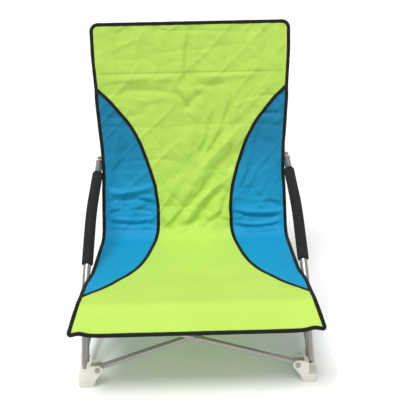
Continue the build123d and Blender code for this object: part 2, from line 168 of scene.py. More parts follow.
class Graph:
    """A material's node tree, with one Principled shader."""

    def __init__(self, name: str) -> None:
        """Make the material.

        Args:
            name: The material's name.
        """
        self.material = bpy.data.materials.new(name)
        self.material.use_nodes = True
        self.tree = self.material.node_tree
        self.shader = next(n for n in self.tree.nodes if n.type == "BSDF_PRINCIPLED")

    def node(self, kind: str, settings: Optional[dict] = None, **sockets: object) -> bpy.types.Node:
        """Add a node.

        Args:
            kind: The node's type, without its ShaderNode prefix.
            settings: Attributes to set on the node.
            sockets: Values or wires for its inputs, by name with _ for a space.

        Returns:
            The new node.
        """
        made = self.tree.nodes.new(f"ShaderNode{kind}")
        for key, value in (settings or {}).items():
            setattr(made, key, value)
        for key, value in sockets.items():
            self.feed(made.inputs[key.replace("_", " ")], value)
        return made

    def feed(self, target: bpy.types.NodeSocket, value: object) -> None:
        """Link a wire to an input, or set the input's value.

        Args:
            target: The input.
            value: A wire or a plain value.
        """
        if isinstance(value, Wire):
            self.tree.links.new(value.socket, target)
        else:
            target.default_value = value

    def math(self, operation: str, *values: "Wire | float") -> Wire:
        """A Math node's result.

        Args:
            operation: The node's operation.
            values: Its inputs, in order.

        Returns:
            The result.
        """
        made = self.node("Math", {"operation": operation})
        for target, value in zip(made.inputs, values):
            self.feed(target, value)
        return Wire(self, made.outputs[0])

    def object_coords(self) -> Wire:
        """The surface point in the object's own axes."""
        return Wire(self, self.node("TexCoord").outputs["Object"])

    def cloth_coords(self) -> Wire:
        """The surface point in metres across and along the cloth."""
        return Wire(self, self.node("TexCoord").outputs["UV"])

    def split(self, vector: Wire) -> tuple[Wire, Wire, Wire]:
        """A vector's three parts."""
        made = self.node("SeparateXYZ", Vector=vector)
        return Wire(self, made.outputs[0]), Wire(self, made.outputs[1]), Wire(self, made.outputs[2])

    def noise(self, vector: Wire, scale: float, detail: float = 3.0, roughness: float = 0.5) -> Wire:
        """Noise between 0 and 1."""
        made = self.node("TexNoise", Vector=vector, Scale=scale, Detail=detail, Roughness=roughness)
        return Wire(self, made.outputs["Fac"])

    def ramp(self, value: Wire, low: float, high: float) -> Wire:
        """A value spread from 0 at low to 1 at high.

        Args:
            value: What to spread.
            low: What gives 0.
            high: What gives 1.

        Returns:
            The spread value.
        """
        made = self.node("MapRange", {"interpolation_type": "SMOOTHSTEP"})
        for key, part in {"Value": value, "From Min": low, "From Max": high}.items():
            self.feed(made.inputs[key], part)
        return Wire(self, made.outputs[0])

    def mix(self, factor: Wire, first: Sequence[float], second: Sequence[float]) -> Wire:
        """A colour between first, at 0, and second, at 1.

        Args:
            factor: How much of second.
            first: A colour or a wire.
            second: A colour or a wire.

        Returns:
            The mixed colour.
        """
        made = self.node("Mix", {"data_type": "RGBA"})
        self.feed(made.inputs[0], factor)
        for target, value in ((made.inputs[6], first), (made.inputs[7], second)):
            self.feed(target, value if isinstance(value, Wire) else (*value, 1.0))
        return Wire(self, made.outputs[2])

    def bump(self, height: Wire, distance: float, strength: float = 1.0) -> Wire:
        """A normal from a height in shares of distance."""
        made = self.node("Bump", Height=height, Distance=distance, Strength=strength)
        return Wire(self, made.outputs[0])

    def finish(self, varying: dict[str, Wire], fixed: dict[str, object]) -> bpy.types.Material:
        """Set the shader's inputs.

        Args:
            varying: Wires, by the shader's socket name.
            fixed: Values, by the shader's socket name.

        Returns:
            The material.
        """
        for key, value in {**varying, **fixed}.items():
            self.feed(self.shader.inputs[key], value)
        return self.material


Colour = tuple[float, float, float]


def scaled(colour: Colour, share: float) -> Colour:
    """A colour made lighter or darker."""
    return (colour[0] * share, colour[1] * share, colour[2] * share)


@dataclass(frozen=True)
class Cloth:
    """Woven polyester: tone changes slowly over the cloth and from thread to thread, with painted shade that
    makes the upper back darker than the seat.
    """

    name: str
    colour: Colour
    worn: Colour
    weave: Weave = Weave.PLAIN
    roughness: float = 0.62
    sheen: float = 0.08
    depth: float = 0.00012
    painted_upper_shade: float = 1.0  # painted shade: the upper back's colour, as a share of the seat's

    def build(self) -> bpy.types.Material:
        """Make the material.

        Returns:
            The material.
        """
        graph = Graph(self.name)
        across, along, _ = graph.split(graph.cloth_coords())
        where = graph.object_coords()
        turns = 2 * pi * self.weave.value
        threads = (across * turns).sine() * (along * turns).sine() * 0.5 + 0.5
        patches = graph.ramp(graph.noise(where, 9.0, 4.0), 0.34, 0.68)
        fibres = graph.noise(where, 900.0, 2.0)
        # Painted shade: from 0.22 to 0.46 m along the sling the colour goes from the upper back's darkened
        # copy to the seat's full colour, standing in for the shade on the upper back.
        level = graph.ramp(along, 0.22, 0.46)
        high = graph.mix(patches, scaled(self.colour, self.painted_upper_shade), scaled(self.worn, self.painted_upper_shade))
        tone = graph.mix(level, high, graph.mix(patches, self.colour, self.worn))
        # The thread shading's darker colour takes the same painted shade on the upper back.
        dark = graph.mix(level, scaled(self.colour, 0.8 * self.painted_upper_shade), scaled(self.colour, 0.8))
        shade = graph.mix(threads * 0.35 + fibres * 0.25, tone, dark)
        rough = graph.noise(where, 60.0) * 0.16 + (self.roughness - 0.08)
        creep = graph.noise(where, 130.0, 4.0, 0.6)
        normal = graph.bump(threads * 0.6 + creep * 2.2, self.depth, 0.9)
        return graph.finish(
            {"Base Color": shade, "Roughness": rough, "Normal": normal},
            {"Sheen Weight": self.sheen, "Sheen Roughness": 0.45, "Specular IOR Level": 0.25},
        )


@dataclass(frozen=True)
class Tape:
    """Ribbed binding or webbing."""

    name: str
    colour: Colour
    weave: Weave = Weave.BINDING

    def build(self) -> bpy.types.Material:
        """Make the material.

        Returns:
            The material.
        """
        graph = Graph(self.name)
        across, along, _ = graph.split(graph.cloth_coords())
        where = graph.object_coords()
        turns = 2 * pi * self.weave.value
        ribs = (along * turns).sine() * 0.5 + 0.5
        strands = (across * turns).sine().absolute()
        dust = graph.ramp(graph.noise(where, 45.0, 5.0), 0.45, 0.8)
        tone = graph.mix(dust * 0.6 + ribs * 0.2, self.colour, scaled(self.colour, 2.6))
        rough = graph.noise(where, 200.0) * 0.2 + 0.62
        normal = graph.bump(ribs + strands * 0.5, 0.0002, 0.8)
        return graph.finish(
            {"Base Color": tone, "Roughness": rough, "Normal": normal},
            {"Sheen Weight": 0.03, "Specular IOR Level": 0.2},
        )


@dataclass(frozen=True)
class Foam:
    """Closed-cell foam with an open, pitted skin."""

    name: str
    colour: Colour

    def build(self) -> bpy.types.Material:
        """Make the material.

        Returns:
            The material.
        """
        graph = Graph(self.name)
        where = graph.object_coords()
        cells = graph.node("TexVoronoi", Vector=where, Scale=1100.0)
        pits = Wire(graph, cells.outputs["Distance"])
        grain = graph.noise(where, 500.0, 4.0, 0.65)
        scuffs = graph.ramp(graph.noise(where, 22.0, 5.0, 0.6), 0.5, 0.85)
        tone = graph.mix(scuffs * 0.5 + grain * 0.3, self.colour, scaled(self.colour, 2.8))
        rough = grain * 0.12 + 0.8
        normal = graph.bump(pits * 0.6 + grain, 0.00035, 0.8)
        return graph.finish(
            {"Base Color": tone, "Roughness": rough, "Normal": normal}, {"Specular IOR Level": 0.28}
        )


@dataclass(frozen=True)
class Steel:
    """Satin plated or powder-coated steel, with fine drawn marks and small scuffs."""

    name: str
    colour: Colour
    roughness: float = 0.34
    metallic: float = 0.85

    def build(self) -> bpy.types.Material:
        """Make the material.

        Returns:
            The material.
        """
        graph = Graph(self.name)
        where = graph.object_coords()
        grain = graph.noise(where, 260.0, 4.0, 0.6)
        cloud = graph.noise(where, 16.0, 4.0)
        scuffs = graph.ramp(graph.noise(where, 70.0, 6.0, 0.7), 0.6, 0.78)
        tone = graph.mix(cloud * 0.5 + scuffs * 0.4, self.colour, scaled(self.colour, 0.72))
        rough = grain * 0.14 + scuffs * 0.16 + (self.roughness - 0.07)
        normal = graph.bump(grain, 0.00004, 0.5)
        return graph.finish(
            {"Base Color": tone, "Roughness": rough, "Normal": normal}, {"Metallic": self.metallic}
        )


@dataclass(frozen=True)
class Moulded:
    """Moulded plastic with a light grain, a little dirt and paler scuffed places, and darker towards the
    bottom.
    """

    name: str
    colour: Colour
    darker_tone: Colour
    roughness: float = 0.42

    def build(self) -> bpy.types.Material:
        """Make the material.

        Returns:
            The material.
        """
        graph = Graph(self.name)
        where = graph.object_coords()
        grain = graph.noise(where, 900.0, 3.0)
        grime = graph.ramp(graph.noise(where, 48.0, 6.0, 0.65), 0.5, 0.82)
        _, _, height = graph.split(where)
        # Darker towards the bottom: the lowest 3 cm of each piece lean towards the darker colour.
        low = 1.0 - graph.ramp(height, 0.0, 0.03)
        tone = graph.mix((grime * 0.5 + low * 0.3).clipped(), self.colour, self.darker_tone)
        rough = grain * 0.12 + grime * 0.15 + (self.roughness - 0.06)
        normal = graph.bump(grain, 0.00008, 0.6)
        return graph.finish(
            {"Base Color": tone, "Roughness": rough, "Normal": normal}, {"Specular IOR Level": 0.45}
        )


@dataclass(frozen=True)
class Thread:
    """Sewing thread."""

    name: str
    colour: Colour

    def build(self) -> bpy.types.Material:
        """Make the material.

        Returns:
            The material.
        """
        graph = Graph(self.name)
        where = graph.object_coords()
        twist = graph.noise(where, 2500.0, 2.0)
        tone = graph.mix(twist, self.colour, scaled(self.colour, 0.6))
        normal = graph.bump(twist, 0.0001, 0.6)
        return graph.finish({"Base Color": tone, "Normal": normal}, {"Roughness": 0.6})


@dataclass
class Palette:
    """The chair's materials."""

    lime: bpy.types.Material = field(init=False)
    blue: bpy.types.Material = field(init=False)
    tape: bpy.types.Material = field(init=False)
    webbing: bpy.types.Material = field(init=False)
    foam: bpy.types.Material = field(init=False)
    tube: bpy.types.Material = field(init=False)
    rivet: bpy.types.Material = field(init=False)
    cream: bpy.types.Material = field(init=False)
    black: bpy.types.Material = field(init=False)
    lime_thread: bpy.types.Material = field(init=False)
    black_thread: bpy.types.Material = field(init=False)

    def __post_init__(self) -> None:
        """Build every material."""
        # Painted shade: the lime's upper back is painted 10 % darker than its seat, and the blue's 42 %
        # darker.
        self.lime = Cloth("lime_cloth", (0.515, 0.765, 0.113), (0.485, 0.735, 0.105), painted_upper_shade=0.9).build()
        self.blue = Cloth(
            "blue_cloth", (0.004, 0.325, 0.61), (0.003, 0.30, 0.575), sheen=0.01, painted_upper_shade=0.58
        ).build()
        self.tape = Tape("binding_tape", (0.006, 0.006, 0.005)).build()
        self.webbing = Tape("webbing_tape", (0.014, 0.014, 0.013), Weave.WEBBING).build()
        self.foam = Foam("grip_foam", (0.011, 0.011, 0.011)).build()
        self.tube = Steel("satin_tube", (0.41, 0.39, 0.37), 0.33, 0.9).build()
        self.rivet = Steel("rivet_steel", (0.36, 0.35, 0.34), 0.3, 0.95).build()
        self.cream = Moulded("cream_plastic", (0.80, 0.78, 0.70), (0.55, 0.51, 0.42)).build()
        self.black = Moulded("black_plastic", (0.02, 0.02, 0.02), (0.05, 0.05, 0.05)).build()
        self.lime_thread = Thread("lime_thread", (0.30, 0.52, 0.07)).build()
        self.black_thread = Thread("black_thread", (0.05, 0.05, 0.05)).build()
        log.info("materials built")


# ---------------------------------------------------------------- mesh helpers


def make_mesh(
    name: str, points: Array, faces: Iterable[Sequence[int]], materials: Sequence[bpy.types.Material],
    slots: Optional[Sequence[int]] = None, coords: Optional[Array] = None, smooth: bool = True,
) -> bpy.types.Object:
    """Make a mesh object and link it.

    Args:
        name: The object's name.
        points: Vertex places, one row each.
        faces: Vertex numbers of each face.
        materials: The object's materials.
        slots: Each face's material number, 0 where left out.
        coords: Each vertex's two cloth coordinates in metres.
        smooth: Whether faces are shaded smooth.

    Returns:
        The object.
    """
    mesh = bpy.data.meshes.new(name)
    mesh.from_pydata([tuple(map(float, p)) for p in points], [], [tuple(map(int, f)) for f in faces])
    for material in materials:
        mesh.materials.append(material)
    mesh.polygons.foreach_set("use_smooth", [smooth] * len(mesh.polygons))
    if slots is not None:
        mesh.polygons.foreach_set("material_index", list(map(int, slots)))
    if coords is not None:
        layer = mesh.uv_layers.new(name="cloth")
        corners = np.zeros(len(mesh.loops), dtype=np.int32)
        mesh.loops.foreach_get("vertex_index", corners)
        layer.data.foreach_set("uv", np.asarray(coords, float)[corners].ravel())
    mesh.update()
    made = bpy.data.objects.new(name, mesh)
    bpy.context.scene.collection.objects.link(made)
    log.info("%s: %d faces", name, len(mesh.polygons))
    return made


def applied(piece: bpy.types.Object) -> bpy.types.Object:
    """Replace a piece's mesh by the result of its modifiers.

    Args:
        piece: A mesh object.

    Returns:
        The same object.
    """
    view = bpy.context.evaluated_depsgraph_get()
    view.update()
    mesh = bpy.data.meshes.new_from_object(piece.evaluated_get(view))
    piece.modifiers.clear()
    piece.data = mesh
    return piece


def thickened(sheet: bpy.types.Object) -> bpy.types.Object:
    """Give a sheet the cloth's thickness, half on each side.

    Args:
        sheet: An open mesh object.

    Returns:
        The same object.
    """
    thick = sheet.modifiers.new("thickness", "SOLIDIFY")
    thick.thickness = CLOTH_THICK
    thick.offset = 0.0
    return applied(sheet)


def grid_faces(high: int, wide: int) -> Array:
    """The faces of a grid of points that is high rows by wide columns.

    Args:
        high: How many rows of points.
        wide: How many columns of points.

    Returns:
        Four point numbers for each face.
    """
    numbers = np.arange(high * wide).reshape(high, wide)
    corners = [numbers[:-1, :-1], numbers[:-1, 1:], numbers[1:, 1:], numbers[1:, :-1]]
    return np.stack(corners, axis=-1).reshape(-1, 4)


def unit(rows: Array) -> Array:
    """Rows scaled to length 1."""
    return rows / np.maximum(np.linalg.norm(rows, axis=-1, keepdims=True), 1e-12)


def smoothed(values: Array, width: int) -> Array:
    """Values after a rounded moving average, with held ends.

    Args:
        values: Evenly spaced values.
        width: How many neighbours count on each side.

    Returns:
        As many values.
    """
    kernel = np.hanning(2 * width + 3)[1:-1]
    padded = np.pad(values, width, mode="edge")
    return np.convolve(padded, kernel / kernel.sum(), mode="valid")


def fade(value: Array, low: float, high: float) -> Array:
    """0 below low, 1 above high and smooth between."""
    t = np.clip((value - low) / (high - low), 0, 1)
    return t * t * (3 - 2 * t)


def bell(value: Array, middle: float, width: float) -> Array:
    """1 at the middle, falling to nothing a few widths away."""
    return np.exp(-(((value - middle) / width) ** 2))


def run_of(points: Array) -> Array:
    """The distance along a path at each of its points."""
    return np.concatenate([[0], np.cumsum(np.linalg.norm(np.diff(points, axis=0), axis=1))])


def read_at(spots: Array, run: Array, rows: Array) -> Array:
    """Rows, one for each distance of run, read at other distances."""
    return np.stack([np.interp(spots, run, column) for column in rows.T], axis=1)


def rounding(radius: float, inside: Array) -> Array:
    """How far a rounded corner cuts in, at each distance from the end."""
    near = np.clip(radius - inside, 0, radius)
    return radius - np.sqrt(radius**2 - near**2)


def sweep(
    name: str, points: Array, sides: Array, normals: Array, section: Sequence[tuple[float, float]],
    material: bpy.types.Material, closed: bool = False, scale: Optional[Array] = None,
) -> bpy.types.Object:
    """Run a closed section along a path.

    Args:
        name: The object's name.
        points: The path.
        sides: At each point, the direction of the section's first axis.
        normals: At each point, the direction of the section's second axis.
        section: The section's outline.
        material: The object's material.
        closed: Whether the path closes on itself.
        scale: At each point, how large the section is.

    Returns:
        The object.
    """
    outline = np.array(section, float)
    size = np.ones(len(points)) if scale is None else np.asarray(scale, float)
    rings = (
        points[:, None, :]
        + sides[:, None, :] * (outline[None, :, :1] * size[:, None, None])
        + normals[:, None, :] * (outline[None, :, 1:] * size[:, None, None])
    )
    count, around = len(points), len(outline)
    runs = count if closed else count - 1
    faces = []
    for i in range(runs):
        for j in range(around):
            a, b = i * around, ((i + 1) % count) * around
            k = (j + 1) % around
            faces.append((a + j, a + k, b + k, b + j))
    if not closed:
        faces.append(tuple(range(around - 1, -1, -1)))
        faces.append(tuple((count - 1) * around + j for j in range(around)))
    along = run_of(points)
    rim = np.linalg.norm(np.diff(outline, axis=0, append=outline[:1]), axis=1)
    across = np.concatenate([[0], np.cumsum(rim)[:-1]])
    coords = np.stack([np.tile(across, count), np.repeat(along, around)], axis=1)
    made = make_mesh(name, rings.reshape(-1, 3), faces, [material], coords=coords)
    fix_normals(made)
    return made


def fix_normals(piece: bpy.types.Object) -> None:
    """Turn a closed piece's faces outwards.

    Args:
        piece: A closed mesh object.
    """
    work = bmesh.new()
    work.from_mesh(piece.data)
    bmesh.ops.recalc_face_normals(work, faces=work.faces)
    work.to_mesh(piece.data)
    work.free()


def rounded(width: float, height: float, corner: float, shift: float = 0.0, steps: int = 3) -> list:
    """A rounded rectangle's outline, centred on (shift, 0).

    Args:
        width: Its size along the first axis.
        height: Its size along the second axis.
        corner: The corners' radius.
        shift: Where its middle lies along the first axis.
        steps: How many sides each corner has.

    Returns:
        The outline's points.
    """
    outline = []
    for mid_x, mid_y, start in ((1, 1, 0), (-1, 1, 90), (-1, -1, 180), (1, -1, 270)):
        for step in range(steps + 1):
            turn = radians(start + 90 * step / steps)
            outline.append((
                shift + mid_x * (width / 2 - corner) + corner * cos(turn),
                mid_y * (height / 2 - corner) + corner * sin(turn),
            ))
    return outline


def ring(radius: float, count: int = 28) -> list:
    """A circle's outline."""
    return [(radius * cos(2 * pi * i / count), radius * sin(2 * pi * i / count)) for i in range(count)]


def dashes(
    name: str, points: Array, sides: Array, normals: Array, material: bpy.types.Material,
    length: float = 0.0026, gap: float = 0.0016, width: float = 0.0007,
) -> bpy.types.Object:
    """Stitches along a path: short threads that dip at both ends.

    Args:
        name: The object's name.
        points: The path.
        sides: At each point, the direction across the stitch.
        normals: At each point, the direction out of the cloth.
        material: The thread's material.
        length: A stitch's length.
        gap: The space between stitches.
        width: The thread's width.

    Returns:
        The object.
    """
    run = run_of(points)
    starts = np.arange(gap, run[-1] - length, length + gap)
    places, faces = [], []
    shape = [(0.0, 0.0, 0.2), (0.25, 0.5, 1.0), (0.75, 0.5, 1.0), (1.0, 0.0, 0.2)]
    for share, half, lift in shape:
        centre, side, out = (
            read_at(starts + length * share, run, rows) for rows in (points, sides, normals)
        )
        half_width = width * (0.25 + half / 2)
        top = centre + out * (width * 0.45 * lift)
        places.append(np.stack([top + side * half_width, top - side * half_width,
                                centre - out * width * 0.3], axis=1))
    grid = np.stack(places, axis=1).reshape(-1, 3)
    for i in range(len(starts)):
        base = i * 12
        for j in range(3):
            for k in range(3):
                m = (k + 1) % 3
                faces.append((base + 3 * j + k, base + 3 * j + m, base + 3 * j + 3 + m, base + 3 * j + 3 + k))
        faces.append((base, base + 2, base + 1))
        faces.append((base + 9, base + 10, base + 11))
    return make_mesh(name, grid, faces, [material], coords=grid[:, :2])


def lattice_noise(x: Array, y: Array, size: float, seed: int) -> Array:
    """Smooth seeded noise between -1 and 1, on a square lattice of the given size.

    Args:
        x: Places, first axis.
        y: Places, second axis.
        size: The lattice's spacing.
        seed: Which noise.

    Returns:
        The noise at each place.
    """
    rng = np.random.default_rng(seed)
    table = rng.uniform(-1, 1, (64, 64))
    u, v = x / size, y / size
    i, j = np.floor(u).astype(int), np.floor(v).astype(int)
    fu, fv = u - i, v - j
    fu, fv = fu * fu * (3 - 2 * fu), fv * fv * (3 - 2 * fv)

    def corner(a: int, b: int) -> Array:
        """The table's value at a lattice corner."""
        return table[(i + a) % 64, (j + b) % 64]

    low = corner(0, 0) * (1 - fu) + corner(1, 0) * fu
    high = corner(0, 1) * (1 - fu) + corner(1, 1) * fu
    return low * (1 - fv) + high * fv


# ---------------------------------------------------------------- the sling


@dataclass(frozen=True)
class Crease:
    """A fold in the cloth, from one place to another, across and along the cloth in metres.

    A positive height stands towards the sitter. A bent crease passes through its own middle point.
    """

    start: tuple[float, float]
    end: tuple[float, float]
    height: float
    width: float
    bend: float = 0.0

    def relief(self, x: Array, a: Array) -> Array:
        """The crease's height at each place.

        Args:
            x: Places across the cloth.
            a: Places along it.

        Returns:
            The heights.
        """
        (x0, a0), (x1, a1) = self.start, self.end
        run = np.array([x1 - x0, a1 - a0])
        length = float(np.hypot(*run))
        way = run / length
        t = ((x - x0) * way[0] + (a - a0) * way[1]) / length
        off = -(x - x0) * way[1] + (a - a0) * way[0]
        off = off - self.bend * 4 * t * (1 - t)
        ends = fade(t, -0.12, 0.22) * (1 - fade(t, 0.78, 1.12))
        return self.height * bell(off, 0, self.width) * ends


@dataclass(frozen=True)
class Station:
    """The sling's half width and its centre panel's half width at one place along it."""

    along: float
    half: float
    centre: float


class SlingShape:
    """The sling as one surface: across it from the middle, and along it from the top edge to the hem."""

    junction_round = 0.036
    ridge_round = 0.016
    top_round = 0.019
    hem_round = 0.009
    pocket_seam = 0.116
    back_sag = 0.006
    seat_sag = 0.007
    post_ridge = 0.0026

    def __init__(self) -> None:
        """Work out the profile and the outline."""
        top = post_axis(TOP_Z) - BEHIND_POST * CLOTH_OFF
        low = post_axis(JUNCTION_Z) - BEHIND_POST * CLOTH_OFF
        self.corners = np.array([
            (top[1], top[2]), (low[1], low[2]), (RIDGE[0] + FRONT_Y, RIDGE[1]), (HEM[0] + FRONT_Y, HEM[1]),
        ])
        self.stops = run_of(self.corners)
        self.length = float(self.stops[-1])
        self._along = np.linspace(0, self.length, 700)
        stations = self._stations()
        places = [s.along for s in stations]
        self._half = smoothed(np.interp(self._along, places, [s.half for s in stations]), 13)
        self._centre = smoothed(np.interp(self._along, places, [s.centre for s in stations]), 11)
        self.creases = self._creases()

    def on_back(self, z: float) -> float:
        """The place along the sling at a height of the back."""
        return (TOP_Z - z) / cos(RECLINE)

    def on_seat(self, y: float) -> float:
        """The place along the sling at a distance from the front feet.

        Args:
            y: The distance, positive to the rear.

        Returns:
            The place along the sling.
        """
        rear = self.corners[1][0] - FRONT_Y
        share = (rear - y) / (rear - RIDGE[0])
        return float(self.stops[1] + share * (self.stops[2] - self.stops[1]))

    def _stations(self) -> list[Station]:
        """The outline, from the top edge to the hem.

        Returns:
            The stations, in order.
        """
        back = [
            (0.639, 0.2325, 0.2325), (0.570, 0.2315, 0.2315), (0.506, 0.2270, 0.2270),
            (0.494, 0.2262, 0.2230), (0.469, 0.2262, 0.1940), (0.420, 0.2222, 0.1520),
            (0.395, 0.2205, 0.1360), (0.370, 0.2178, 0.1235), (0.318, 0.2158, 0.1050),
            (0.300, 0.2160, 0.0995), (0.274, 0.2178, 0.0920), (0.224, 0.2195, 0.0860),
            (0.175, 0.2205, 0.0875), (0.158, 0.2208, 0.0895),
        ]
        seat = [
            (0.290, 0.2213, 0.0950), (0.255, 0.2216, 0.1010), (0.210, 0.2220, 0.1090),
            (0.169, 0.2225, 0.1195), (0.140, 0.2228, 0.1300), (0.110, 0.2234, 0.1450),
            (0.098, 0.2246, 0.1530), (0.084, 0.2278, 0.1620), (0.060, 0.2314, 0.1760),
            (0.037, 0.2325, 0.1945), (0.016, 0.2330, 0.2120), (0.001, 0.2335, 0.2325),
            (-0.040, 0.2360, 0.2360),
        ]
        found = [Station(self.on_back(z), half, centre) for z, half, centre in back]
        found += [Station(self.on_seat(y), half, centre) for y, half, centre in seat]
        return [*found, Station(self.length, 0.2520, 0.2520)]

    def _creases(self) -> list[Crease]:
        """The folds that the hanging cloth shows.

        Returns:
            The folds, in metres.
        """
        # start and end, then height, width and bend, in millimetres and before FOLD_DEPTH
        rows = [
            # the head pocket's upright folds, and the slack under its seam
            ((2, 12), (-12, 150), -3.4, 9, 4), ((-10, 20), (-24, 120), 2.2, 12, 0),
            ((14, 16), (2, 110), 2.4, 10, 0), ((100, 20), (78, 130), -1.8, 14, 0),
            ((150, 15), (140, 112), 1.6, 16, 0), ((-70, 20), (-66, 100), 1.2, 20, 0),
            ((176, 10), (172, 112), -1.8, 9, 0), ((-172, 10), (-166, 140), -1.8, 9, 0),
            ((-185, 132), (-35, 128), 2.8, 8, 0), ((-175, 158), (-45, 164), -2.4, 8, -6),
            ((20, 128), (150, 124), 2.0, 8, 0), ((0, 148), (85, 142), -2.0, 8, 0),
            ((-130, 176), (-60, 172), 1.8, 9, 5), ((-42, 158), (-12, 204), -3.2, 8, -4),
            ((-12, 206), (22, 160), -3.4, 9, -4), ((-20, 150), (-16, 190), 2.2, 9, 0),
            # folds that pull from the upper right corner down to the left
            ((196, 136), (92, 236), 3.0, 11, 6), ((172, 150), (106, 214), -2.6, 8, 4),
            ((96, 176), (22, 330), -3.0, 9, -8), ((122, 176), (60, 262), 2.2, 9, 0),
            ((78, 190), (30, 300), 2.4, 8, -8), ((50, 210), (14, 316), -2.2, 7, -4),
            ((112, 258), (-40, 420), 4.2, 20, 8), ((96, 300), (-10, 448), -2.2, 12, 6),
            ((6, 190), (-16, 330), 1.4, 14, 0), ((20, 330), (-62, 440), -2.2, 12, 0),
            ((90, 284), (84, 350), -2.4, 9, -6), ((-96, 186), (-72, 290), 1.5, 16, 0),
            # slack just above the seat
            ((70, 392), (-4, 486), -3.8, 9, 6), ((12, 398), (-58, 492), -3.2, 10, 6),
            ((36, 400), (-30, 490), 3.2, 8, 6), ((84, 396), (58, 470), -2.6, 8, 0),
            ((90, 408), (84, 470), 2.0, 6, 0), ((40, 466), (-50, 492), -2.4, 8, 8),
            ((62, 440), (10, 478), 2.6, 8, 0), ((-80, 452), (-30, 500), 1.8, 10, 0),
            # the left side panel
            ((-168, 240), (-198, 330), 2.2, 9, 0), ((-150, 280), (-186, 350), -1.8, 8, 0),
            ((-184, 262), (-204, 350), -1.6, 7, 0), ((-212, 392), (-96, 380), 3.0, 6, 8),
            ((-212, 400), (-96, 396), -2.4, 5, 6), ((-206, 404), (-100, 412), 2.0, 5, -8),
            ((-204, 416), (-96, 424), -2.6, 5, -9), ((-206, 430), (-120, 424), 2.4, 5, 8),
            ((-196, 440), (-98, 446), -1.8, 5, -8), ((-210, 452), (-96, 458), 2.0, 5, 7),
            ((-204, 466), (-110, 470), -1.6, 5, 6), ((-200, 480), (-96, 482), 1.4, 6, -5),
            # the right side panel
            ((150, 250), (112, 380), 2.2, 9, 0), ((176, 224), (140, 300), -1.8, 9, 0),
            ((200, 214), (160, 214), -2.6, 5, 0), ((134, 350), (110, 400), -2.2, 6, 0),
            ((150, 340), (124, 392), 1.8, 6, 0), ((184, 360), (150, 410), 1.4, 8, 0),
            ((92, 440), (212, 446), 3.0, 6, 8), ((90, 448), (208, 458), -2.4, 5, 6),
            ((96, 472), (206, 470), 2.4, 5, 10), ((98, 480), (200, 478), -2.0, 5, 8),
            ((104, 492), (190, 494), 1.8, 6, 7), ((170, 420), (212, 438), -2.0, 6, 0),
            # the seat, which is nearly flat
            ((10, 540), (42, 600), -0.9, 14, 0), ((-60, 640), (70, 700), 0.6, 22, 0),
            ((-150, 780), (150, 770), 0.8, 26, 0), ((-216, 826), (-150, 800), 1.0, 12, 0),
            ((216, 826), (150, 800), 1.0, 12, 0),
        ]
        return [
            Crease(
                (start[0] * MM, start[1] * MM), (end[0] * MM, end[1] * MM),
                height * FOLD_DEPTH * MM, width * MM, bend * MM,
            )
            for start, end, height, width, bend in rows
        ]

    def half(self, a: Array) -> Array:
        """The half width at each place along the sling, with rounded corners at both ends.

        Args:
            a: Places along the sling.

        Returns:
            The half widths.
        """
        plain = np.interp(a, self._along, self._half)
        return plain - rounding(self.top_round, a) - rounding(self.hem_round, self.length - a)

    def centre(self, a: Array) -> Array:
        """The centre panel's half width at each place, never quite as wide as the sling."""
        return np.minimum(np.interp(a, self._along, self._centre), self.half(a) - 0.006)

    def profile(self, a: Array) -> tuple[Array, Array]:
        """The sling's side view: Y and Z at each place along it, with rounded turns.

        Args:
            a: Places along the sling.

        Returns:
            Y, and Z.
        """
        y = np.interp(a, self.stops, self.corners[:, 0])
        z = np.interp(a, self.stops, self.corners[:, 1])
        for number, cut in ((1, self.junction_round), (2, self.ridge_round)):
            stop = self.stops[number]
            inside = np.abs(a - stop) < cut
            t = np.clip((a - stop + cut) / (2 * cut), 0, 1)
            before = [np.interp(stop - cut, self.stops, self.corners[:, i]) for i in (0, 1)]
            after = [np.interp(stop + cut, self.stops, self.corners[:, i]) for i in (0, 1)]
            for i, out in ((0, y), (1, z)):
                bent = (1 - t) ** 2 * before[i] + 2 * t * (1 - t) * self.corners[number][i] + t**2 * after[i]
                out[inside] = bent[inside]
        return y, z

    def relief(self, x: Array, a: Array) -> Array:
        """How far the cloth stands towards the sitter from its plain surface.

        Args:
            x: Places across the sling.
            a: Places along it.

        Returns:
            The heights.
        """
        half = self.half(a)
        share = np.clip(np.abs(x) / half, 0, 1)
        held = (1 - fade(share, 0.9, 1.0) * 0.75) * (0.15 + 0.85 * fade(a, 0.0, 0.022))
        total = np.zeros_like(x)
        for crease in self.creases:
            total += crease.relief(x, a)
        total += self._crumples(x, a, share)
        sag_back = np.sin(pi * np.clip(a / self.stops[1], 0, 1))
        sag_seat = np.sin(pi * np.clip((a - self.stops[1]) / (self.stops[2] - self.stops[1]), 0, 1))
        total -= (self.back_sag * sag_back + self.seat_sag * sag_seat) * (1 - share**2)
        total += self.post_ridge * bell(np.abs(x), POST_X, 0.0075) * (1 - fade(a, 0.10, 0.17))
        total -= 0.0014 * bell(a, self.pocket_seam, 0.0022) * (1 - fade(share, 0.93, 0.97))
        return total * held

